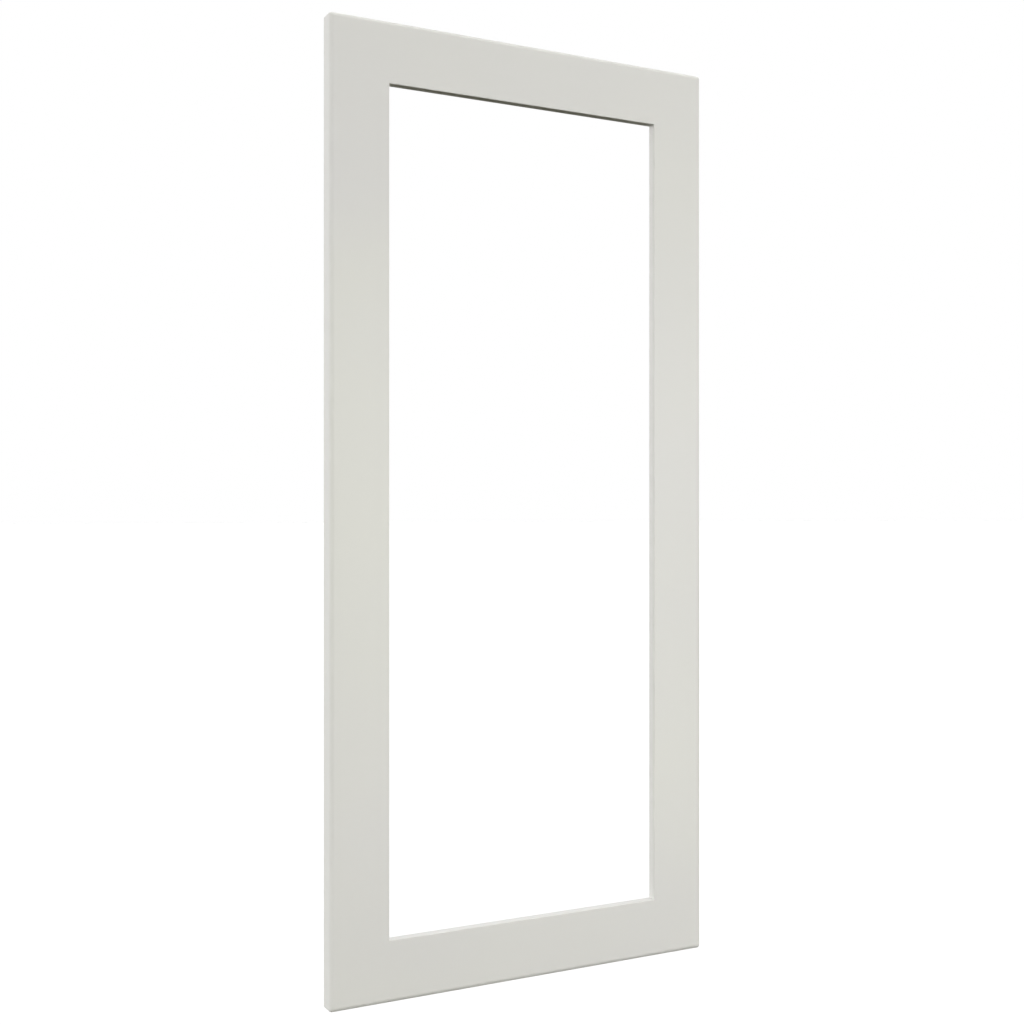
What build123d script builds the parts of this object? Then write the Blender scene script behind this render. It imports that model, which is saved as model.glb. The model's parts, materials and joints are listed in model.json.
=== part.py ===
from build123d import *
import os

# Kitchen cabinet door: an open, painted frame of two stiles and two rails, rebated behind for glass.
# All sizes in millimetres. X runs across the door, Z up it, and the front faces -Y.
# The origin is the centre of the closed door's outer box.

# Door leaf
door_width = 457
door_height = 1016
board_thickness = 19
stile_width = 65
rail_width = 65

# Lip round the opening and the rebate behind it that takes the glass
lip_thickness = 10
rebate_width = 10

# Worked corners and edges of the assembled frame
outer_corner_radius = 3
front_edge_radius = 5
opening_edge_radius = 1
back_edge_radius = 1

# Stub tenons on the rails, with their back cheek in line with the floor of the rebate
tenon_thickness = 6
tenon_length = 30
tenon_haunch = 12
glue_gap = 0.1
mortise_end_gap = 1

# Blind bores for concealed hinges, in the back of one stile
cup_diameter = 35
cup_depth = 12.5
cup_edge_margin = 5
cup_end_distance = 100

# Places that follow from the sizes above
front = -board_thickness / 2
back = board_thickness / 2
lip_back = front + lip_thickness
opening_width = door_width - 2 * stile_width
opening_height = door_height - 2 * rail_width
tenon_front = lip_back - tenon_thickness
tenon_reach = opening_width / 2 + tenon_length
cup_inset = cup_edge_margin + cup_diameter / 2


def block(low, high):
    """Rectangular block between two opposite corners."""
    size = [top - bottom for bottom, top in zip(low, high)]
    return Pos(*low) * Box(*size, align=(Align.MIN, Align.MIN, Align.MIN))


def worked_frame():
    """Outline of the glued frame with its corners and edges rounded, which every member is finished to."""
    plan = RectangleRounded(door_width, door_height, outer_corner_radius)
    plan -= Rectangle(opening_width, opening_height)
    outline = extrude(Plane.XZ * plan, board_thickness / 2, both=True)
    outline = fillet(outline.faces().sort_by(Axis.Y)[0].outer_wire().edges(), front_edge_radius)
    outline = fillet(outline.faces().sort_by(Axis.Y)[0].inner_wires()[0].edges(), opening_edge_radius)
    return fillet(outline.faces().sort_by(Axis.Y)[-1].outer_wire().edges(), back_edge_radius)


def rebated_bar(width, length):
    """Bar along Z with its outer edge on X = 0 and a rebate along its inner back edge."""
    rebate_start = width - rebate_width
    section = Polyline(
        (0, front), (width, front), (width, lip_back),
        (rebate_start, lip_back), (rebate_start, back), (0, back),
        close=True,
    )
    return extrude(make_face(section), length / 2, both=True)


def stile():
    """Left stile: the rebate runs its whole length, and each rail has a mortise in the inner edge."""
    bar = Pos(-door_width / 2, 0, 0) * rebated_bar(stile_width, door_height)
    mortise_floor = -tenon_reach - mortise_end_gap
    mortise_low = opening_height / 2 + rebate_width - glue_gap
    mortise_high = door_height / 2 - tenon_haunch + glue_gap
    mortise = block(
        (mortise_floor, tenon_front - glue_gap, mortise_low), (0, lip_back + glue_gap, mortise_high)
    )
    return bar - mortise - mirror(mortise, Plane.XY)


def rail():
    """Top rail: its front shoulders meet the stiles' inner edges, its back shoulders fill their rebates."""
    bar = rebated_bar(rail_width, opening_width + 2 * rebate_width)
    shoulder = block((0, front, opening_width / 2), (rail_width, lip_back, tenon_reach))
    tenons = block(
        (tenon_haunch, tenon_front, -tenon_reach), (rail_width - rebate_width, lip_back, tenon_reach)
    )
    bar = bar - shoulder - mirror(shoulder, Plane.XY) + tenons
    return Pos(0, 0, door_height / 2) * Rot(0, 90, 0) * bar


def hinge_cups():
    """Pair of blind bores, each opening at the back face."""
    cup = Cylinder(cup_diameter / 2, cup_depth, rotation=(90, 0, 0))
    cup = Pos(cup_inset - door_width / 2, back - cup_depth / 2, door_height / 2 - cup_end_distance) * cup
    return cup + mirror(cup, Plane.XY)


frame_outline = worked_frame()
left_stile = stile() & frame_outline
top_rail = rail() & frame_outline

members = {
    "hinge_stile": left_stile - hinge_cups(),
    "free_stile": mirror(left_stile, Plane.YZ),
    "top_rail": top_rail,
    "bottom_rail": mirror(top_rail, Plane.XY),
}

os.makedirs("parts", exist_ok=True)
for name, member in members.items():
    export_step(member, f"parts/{name}.step")
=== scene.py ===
import json
import math

import bpy
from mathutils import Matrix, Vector


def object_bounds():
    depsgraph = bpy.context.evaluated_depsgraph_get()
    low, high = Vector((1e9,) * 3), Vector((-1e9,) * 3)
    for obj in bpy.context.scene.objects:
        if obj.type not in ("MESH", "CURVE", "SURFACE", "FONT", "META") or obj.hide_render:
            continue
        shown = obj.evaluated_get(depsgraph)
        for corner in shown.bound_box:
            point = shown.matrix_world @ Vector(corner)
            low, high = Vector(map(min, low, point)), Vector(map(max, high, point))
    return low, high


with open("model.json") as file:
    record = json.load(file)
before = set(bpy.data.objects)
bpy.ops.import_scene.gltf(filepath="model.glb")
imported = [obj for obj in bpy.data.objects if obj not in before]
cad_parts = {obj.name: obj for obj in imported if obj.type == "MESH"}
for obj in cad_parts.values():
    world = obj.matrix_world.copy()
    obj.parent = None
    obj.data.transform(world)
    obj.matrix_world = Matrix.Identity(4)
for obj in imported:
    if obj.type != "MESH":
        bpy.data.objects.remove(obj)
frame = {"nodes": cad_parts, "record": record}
cad_low, cad_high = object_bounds()

# The stiles: two uprights of dense fibreboard that run the door's full height.
# The glued frame is sanded flat, rounded along its edges and sprayed with satin off-white lacquer,
# which levels to a faint orange peel, dries rougher at the cut edges and traps dust.
# Its colour there is lighter: painted light on the side faces, roundovers and opening walls.

# The cool white is the darker one and the warm white the lighter; besides a random mottle, the seed
# below places them as painted shade on the corners.
cool_shaded_white = (0.685, 0.678, 0.651, 1.0)
warm_lit_white = (0.712, 0.712, 0.654, 1.0)
# This lighter, more neutral white on the cut edges is painted light on the side faces, roundovers and
# opening walls.
edge_painted_light = (0.738, 0.731, 0.706, 1.0)
noise_low = 0.3
noise_high = 0.7
tones_per_metre = 2.5
tone_detail = 2
# This seed puts the warm, lighter tone on the middle of the hinge stile and the cool, darker one at
# the corners, so besides a random mottle the tone is painted shade that darkens the corners.
mottle_and_shade_seed = 105.5
lacquer_roughness = 0.30
smear_roughness = 0.05
edge_roughness = 0.10
edge_start = 0.0004
edge_full = 0.0050
peel_per_metre = 430
peel_detail = 1
peel_depth = 0.000012
grain_per_metre = 1100
grain_detail = 3
grain_depth = 0.000010
dust_per_metre = 130
dust_share = 0.30
dust_radius = 0.0004
dust_height = 0.00005


def node(tree, kind, feeds, **settings):
    """Shader node whose inputs are each fed by another node's output or set to a value."""
    made = tree.nodes.new("ShaderNode" + kind)
    for name, value in settings.items():
        setattr(made, name, value)
    for name, feed in feeds.items():
        if isinstance(feed, bpy.types.NodeSocket):
            tree.links.new(feed, made.inputs[name])
        else:
            made.inputs[name].default_value = feed
    return made


def calc(tree, step, *terms):
    """Result of one sum on other nodes' outputs and plain numbers."""
    return node(tree, "Math", dict(enumerate(terms)), operation=step).outputs[0]


def fade(tree, value, start, end, low=0.0, high=1.0):
    """Smooth change from low to high while the value goes from start to end."""
    feeds = {"Value": value, "From Min": start, "From Max": end, "To Min": low, "To Max": high}
    return node(tree, "MapRange", feeds, interpolation_type="SMOOTHSTEP").outputs["Result"]


def mixed(tree, share, first, second, kind="RGBA"):
    """Blend of two colours, values or vectors, by the share of the second one."""
    feeds = {"Factor": share, "A": first, "B": second}
    return node(tree, "Mix", feeds, data_type=kind).outputs["Result"]


def effect(name, takes, gives):
    """Empty shader effect with named inputs and outputs, and its first and last node."""
    group = bpy.data.node_groups.new(name, "ShaderNodeTree")
    for way, sockets in (("INPUT", takes), ("OUTPUT", gives)):
        for label, kind in sockets.items():
            group.interface.new_socket(label, in_out=way, socket_type="NodeSocket" + kind)
    return group, group.nodes.new("NodeGroupInput").outputs, group.nodes.new("NodeGroupOutput").inputs


lacquer_takes = {
    "Coordinates": "Vector", "Cool": "Color", "Warm": "Color", "Edge": "Color",
    "Tone Scale": "Float", "Tone Seed": "Float",
    "Roughness": "Float", "Smear": "Float", "Edge Roughness": "Float",
    "Face": "Float", "Edge Start": "Float", "Edge Full": "Float",
    "Peel Scale": "Float", "Peel Depth": "Float", "Grain Scale": "Float", "Grain Depth": "Float",
    "Dust Scale": "Float", "Dust Share": "Float", "Dust Radius": "Float", "Dust Height": "Float",
}
lacquer_gives = {"Colour": "Color", "Roughness": "Float", "Normal": "Vector"}
sprayed, given, result = effect("sprayed_lacquer", lacquer_takes, lacquer_gives)

spot = given["Coordinates"]
patches = {
    "Vector": spot, "W": given["Tone Seed"], "Scale": given["Tone Scale"], "Detail": tone_detail,
}
cloud = node(sprayed, "TexNoise", patches, noise_dimensions="4D")
tone = fade(sprayed, cloud.outputs["Fac"], noise_low, noise_high)
place = node(sprayed, "SeparateXYZ", {"Vector": spot}).outputs
inset = calc(sprayed, "SUBTRACT", given["Face"], calc(sprayed, "ABSOLUTE", place["Y"]))
edge = fade(sprayed, inset, given["Edge Start"], given["Edge Full"])
# Towards the cut edges the colour turns to the lighter edge white, which is painted light.
colour = mixed(sprayed, edge, mixed(sprayed, tone, given["Cool"], given["Warm"]), given["Edge"])
sprayed.links.new(colour, result["Colour"])
smear = calc(sprayed, "MULTIPLY", calc(sprayed, "SUBTRACT", tone, 0.5), given["Smear"])
duller = calc(sprayed, "MULTIPLY_ADD", edge, given["Edge Roughness"], smear)
sprayed.links.new(calc(sprayed, "ADD", given["Roughness"], duller), result["Roughness"])

waves = {"Vector": spot, "Scale": given["Peel Scale"], "Detail": peel_detail}
peel = node(sprayed, "TexNoise", waves).outputs["Fac"]
fibres = {"Vector": spot, "Scale": given["Grain Scale"], "Detail": grain_detail}
grain = node(sprayed, "TexNoise", fibres).outputs["Fac"]
speck = node(sprayed, "TexVoronoi", {"Vector": spot, "Scale": given["Dust Scale"]}).outputs
chance = node(sprayed, "SeparateColor", {"Color": speck["Color"]}).outputs["Red"]
speck_reach = calc(sprayed, "DIVIDE", speck["Distance"], given["Dust Scale"])
speck_top = fade(sprayed, speck_reach, 0.0, given["Dust Radius"], 1.0, 0.0)
dust = calc(sprayed, "MULTIPLY", speck_top, calc(sprayed, "LESS_THAN", chance, given["Dust Share"]))
raised = calc(sprayed, "MULTIPLY", peel, given["Peel Depth"])
grain_edge = calc(sprayed, "MULTIPLY", grain, edge)
raised = calc(sprayed, "MULTIPLY_ADD", grain_edge, given["Grain Depth"], raised)
raised = calc(sprayed, "MULTIPLY_ADD", dust, given["Dust Height"], raised)
relief = node(sprayed, "Bump", {"Height": raised, "Distance": 1.0})
sprayed.links.new(relief.outputs["Normal"], result["Normal"])


def lacquer(name):
    """Satin lacquer, with its shader's inputs by name and the outputs that feed them."""
    material = bpy.data.materials.new(name)
    material.use_nodes = True
    tree = material.node_tree
    coat = node(tree, "Group", {}, node_tree=sprayed)
    values = {
        "Cool": cool_shaded_white, "Warm": warm_lit_white, "Edge": edge_painted_light,
        "Tone Scale": tones_per_metre, "Tone Seed": mottle_and_shade_seed,
        "Roughness": lacquer_roughness, "Smear": smear_roughness, "Edge Roughness": edge_roughness,
        "Face": cad_high[1], "Edge Start": edge_start, "Edge Full": edge_full,
        "Peel Scale": peel_per_metre, "Peel Depth": peel_depth,
        "Grain Scale": grain_per_metre, "Grain Depth": grain_depth, "Dust Scale": dust_per_metre,
        "Dust Share": dust_share, "Dust Radius": dust_radius, "Dust Height": dust_height,
    }
    for label, value in values.items():
        coat.inputs[label].default_value = value
    spot = node(tree, "TexCoord", {}).outputs["Object"]
    tree.links.new(spot, coat.inputs["Coordinates"])
    surface = tree.nodes["Principled BSDF"].inputs
    finish = {"Base Color": "Colour", "Roughness": "Roughness", "Normal": "Normal"}
    for socket, output in finish.items():
        tree.links.new(coat.outputs[output], surface[socket])
    return material, tree, spot, surface, coat.outputs


def finish_member(name, material):
    """Give a member of the frame its finish."""
    member = frame["nodes"][name]
    member.material_slots[0].material = material


frame_lacquer = lacquer("frame_lacquer")[0]
finish_member("free_stile", frame_lacquer)

# The rails: two cross members of the same board, tenoned and glued between the stiles.
# They are sanded and sprayed with them, so the same lacquer runs on over the joints.

finish_member("top_rail", frame_lacquer)
finish_member("bottom_rail", frame_lacquer)

# The hinge stile: its two cups are bored from behind after the lacquer has dried.
# Inside them the board is bare: brown pressed fibre, with the fine rings that the bit leaves
# on each cup's floor.

board_dark = (0.200, 0.118, 0.055, 1.0)
board_light = (0.470, 0.310, 0.170, 1.0)
board_roughness = 0.85
fibre_per_metre = 600
fibre_detail = 8
fibre_roughness = 0.7
fibre_distortion = 0.6
fibre_depth = 0.00012
ring_spacing = 0.0011
ring_depth = 0.00006
# The bare area is this much larger than the bore, so that the bore's wall and floor lie in it.
cup_margin = 0.00015
cup = next(mount for mount in frame["record"]["mounts"] if mount["name"] == "upper_hinge_cup")
cup_side, cup_middle, cup_height = cup["pos_m"]
cup_radius = cup["dims"]["r_mm"] / 1000
cup_reach = cup["dims"]["length_mm"] / 1000 / 2

bored, given, result = effect(
    "bored_cups",
    {
        "Coordinates": "Vector", "Side": "Float", "Height": "Float", "Middle": "Float",
        "Radius": "Float", "Reach": "Float",
    },
    {"Mask": "Float", "Distance": "Float"},
)
place = node(bored, "SeparateXYZ", {"Vector": given["Coordinates"]}).outputs
across = calc(bored, "SUBTRACT", place["X"], given["Side"])
up = calc(bored, "SUBTRACT", calc(bored, "ABSOLUTE", place["Z"]), given["Height"])
square = calc(bored, "MULTIPLY_ADD", up, up, calc(bored, "MULTIPLY", across, across))
distance = calc(bored, "SQRT", square)
depth = calc(bored, "ABSOLUTE", calc(bored, "SUBTRACT", place["Y"], given["Middle"]))
within = calc(bored, "LESS_THAN", distance, given["Radius"])
below = calc(bored, "LESS_THAN", depth, given["Reach"])
bored.links.new(calc(bored, "MULTIPLY", within, below), result["Mask"])
bored.links.new(distance, result["Distance"])

bare, given, result = effect(
    "bare_board",
    {
        "Coordinates": "Vector", "Dark": "Color", "Light": "Color", "Fibre Scale": "Float",
        "Fibre Depth": "Float", "Distance": "Float", "Ring Spacing": "Float", "Ring Depth": "Float",
    },
    {"Colour": "Color", "Normal": "Vector"},
)
tangle = {
    "Vector": given["Coordinates"], "Scale": given["Fibre Scale"], "Detail": fibre_detail,
    "Roughness": fibre_roughness, "Distortion": fibre_distortion,
}
fibre = node(bare, "TexNoise", tangle).outputs["Fac"]
fibre_tone = fade(bare, fibre, noise_low, noise_high)
bare.links.new(mixed(bare, fibre_tone, given["Dark"], given["Light"]), result["Colour"])
turn = calc(bare, "MULTIPLY", calc(bare, "DIVIDE", given["Distance"], given["Ring Spacing"]), math.tau)
rings = calc(bare, "MULTIPLY", calc(bare, "SINE", turn), given["Ring Depth"])
raised = calc(bare, "MULTIPLY_ADD", fibre, given["Fibre Depth"], rings)
relief = node(bare, "Bump", {"Height": raised, "Distance": 1.0})
bare.links.new(relief.outputs["Normal"], result["Normal"])

bored_lacquer, tree, spot, surface, coat = lacquer("bored_lacquer")
cups = node(
    tree, "Group",
    {
        "Coordinates": spot, "Side": cup_side, "Height": cup_height, "Middle": cup_middle,
        "Radius": cup_radius + cup_margin, "Reach": cup_reach + cup_margin,
    },
    node_tree=bored,
).outputs
board = node(
    tree, "Group",
    {
        "Coordinates": spot, "Dark": board_dark, "Light": board_light, "Fibre Scale": fibre_per_metre,
        "Fibre Depth": fibre_depth, "Distance": cups["Distance"],
        "Ring Spacing": ring_spacing, "Ring Depth": ring_depth,
    },
    node_tree=bare,
).outputs
bored_out = cups["Mask"]
colour = mixed(tree, bored_out, coat["Colour"], board["Colour"])
tree.links.new(colour, surface["Base Color"])
rough = mixed(tree, bored_out, coat["Roughness"], board_roughness, "FLOAT")
tree.links.new(rough, surface["Roughness"])
normal = mixed(tree, bored_out, coat["Normal"], board["Normal"], "VECTOR")
tree.links.new(normal, surface["Normal"])

finish_member("hinge_stile", bored_lacquer)

# The floor: a plain sheet well below the hung door, pale to the camera and with the door's shadow.
# To light and gloss it is a dull olive, which keeps the opening's upper wall as dark as the real
# one, but gloss sees it white on the left, so the door's side face is even down its length.

floor_height = -1.6
floor_size = 400
floor_colour = (0.82, 0.82, 0.82, 1.0)
floor_below = (0.052, 0.051, 0.028, 1.0)
floor_roughness = 0.9
floor_glow = 0.22
gloss_glow = 0.8
# Going right, gloss sees the floor turn from white to dull between these two places along X.
pale_edge = -0.8
dull_edge = 0.4
plain_white = (1, 1, 1, 1)

bpy.ops.mesh.primitive_plane_add(size=floor_size, location=(0, 0, floor_height))
floor = bpy.context.object
floor.name = "studio_floor"
floor_paint = bpy.data.materials.new("floor_paint")
floor_paint.use_nodes = True
floor.data.materials.append(floor_paint)
tree = floor_paint.node_tree
surface = tree.nodes["Principled BSDF"].inputs
surface["Roughness"].default_value = floor_roughness
surface["Specular IOR Level"].default_value = 0.0
surface["Emission Color"].default_value = plain_white
place = node(tree, "SeparateXYZ", {"Vector": node(tree, "TexCoord", {}).outputs["Object"]}).outputs
pale = fade(tree, place["X"], pale_edge, dull_edge, gloss_glow, 0.0)
path = node(tree, "LightPath", {}).outputs
seen = path["Is Camera Ray"]
mirrored = calc(tree, "MULTIPLY", path["Is Glossy Ray"], pale)
tree.links.new(mixed(tree, seen, floor_below, floor_colour), surface["Base Color"])
tree.links.new(calc(tree, "MULTIPLY_ADD", seen, floor_glow, mirrored), surface["Emission Strength"])

# The light: a round white tent whose wall glows near the horizon, evenly from every side, and
# whose roof glows straight above the door. A soft box on the right lifts the middle of the front,
# and one on the left reaches its side face. What the camera and gloss see of the tent is white.

# Heights on the tent are the rise of a direction, from 0 at the horizon to 1 straight up.
wall_top = 0.35
wall_fade = 0.12
wall_glow = 3.0
roof_start = 0.82
roof_fade = 0.08
roof_glow = 1.9

world = bpy.data.worlds.new("light_tent")
bpy.context.scene.world = world
world.use_nodes = True
tree = world.node_tree
toward = node(tree, "TexCoord", {}).outputs["Generated"]
rise = node(tree, "SeparateXYZ", {"Vector": toward}).outputs["Z"]
wall = fade(tree, rise, wall_top - wall_fade, wall_top + wall_fade, wall_glow, 0.0)
roof = fade(tree, rise, roof_start - roof_fade, roof_start + roof_fade, 0.0, roof_glow)
glow = calc(tree, "ADD", wall, roof)
tent = tree.nodes["Background"]
tent.inputs["Color"].default_value = plain_white
tree.links.new(glow, tent.inputs["Strength"])
white = node(tree, "Background", {"Color": plain_white, "Strength": 1.0})
path = node(tree, "LightPath", {}).outputs
seen = calc(tree, "MAXIMUM", path["Is Camera Ray"], path["Is Glossy Ray"])
seen = calc(tree, "MAXIMUM", seen, path["Is Transmission Ray"])
blend = node(tree, "MixShader", {0: seen, 1: tent.outputs[0], 2: white.outputs[0]})
tree.links.new(blend.outputs[0], tree.nodes["World Output"].inputs["Surface"])


def soft_box(name, place, aim, width, height, power):
    """Rectangular soft light of that size in metres and power in watts, turned to its aim."""
    lamp = bpy.data.lights.new(name, "AREA")
    lamp.shape = "RECTANGLE"
    lamp.size = width
    lamp.size_y = height
    lamp.energy = power
    box = bpy.data.objects.new(name, lamp)
    bpy.context.scene.collection.objects.link(box)
    box.location = place
    box.rotation_euler = (Vector(aim) - Vector(place)).to_track_quat("-Z", "Y").to_euler()
    box.visible_camera = False


soft_box("front_box", (1.2, -2.1, -0.23), (1.2, 0, -0.23), 1.6, 1.6, 13.5)
soft_box("left_box", (-2.9, 0.9, -0.3), (0, 0, 0), 1.4, 2.0, 12.5)

# The camera stands level with the door's middle, in front of its hinge side, and looks level
# across the door. Its lens and sensor are in millimetres, and its place is in metres.

camera_sensor = 36
camera_lens = 49.04
camera_turn = math.radians(27.895)
camera_side = -0.7262
camera_back = 1.3334

camera = bpy.data.cameras.new("camera")
camera.sensor_width = camera_sensor
camera.lens = camera_lens
viewer = bpy.data.objects.new("camera", camera)
bpy.context.scene.collection.objects.link(viewer)
viewer.location = (camera_side, cad_low[1] - camera_back, 0)
viewer.rotation_euler = (math.pi / 2, 0, -camera_turn)
bpy.context.scene.camera = viewer
bpy.context.scene.view_settings.view_transform = "Standard"
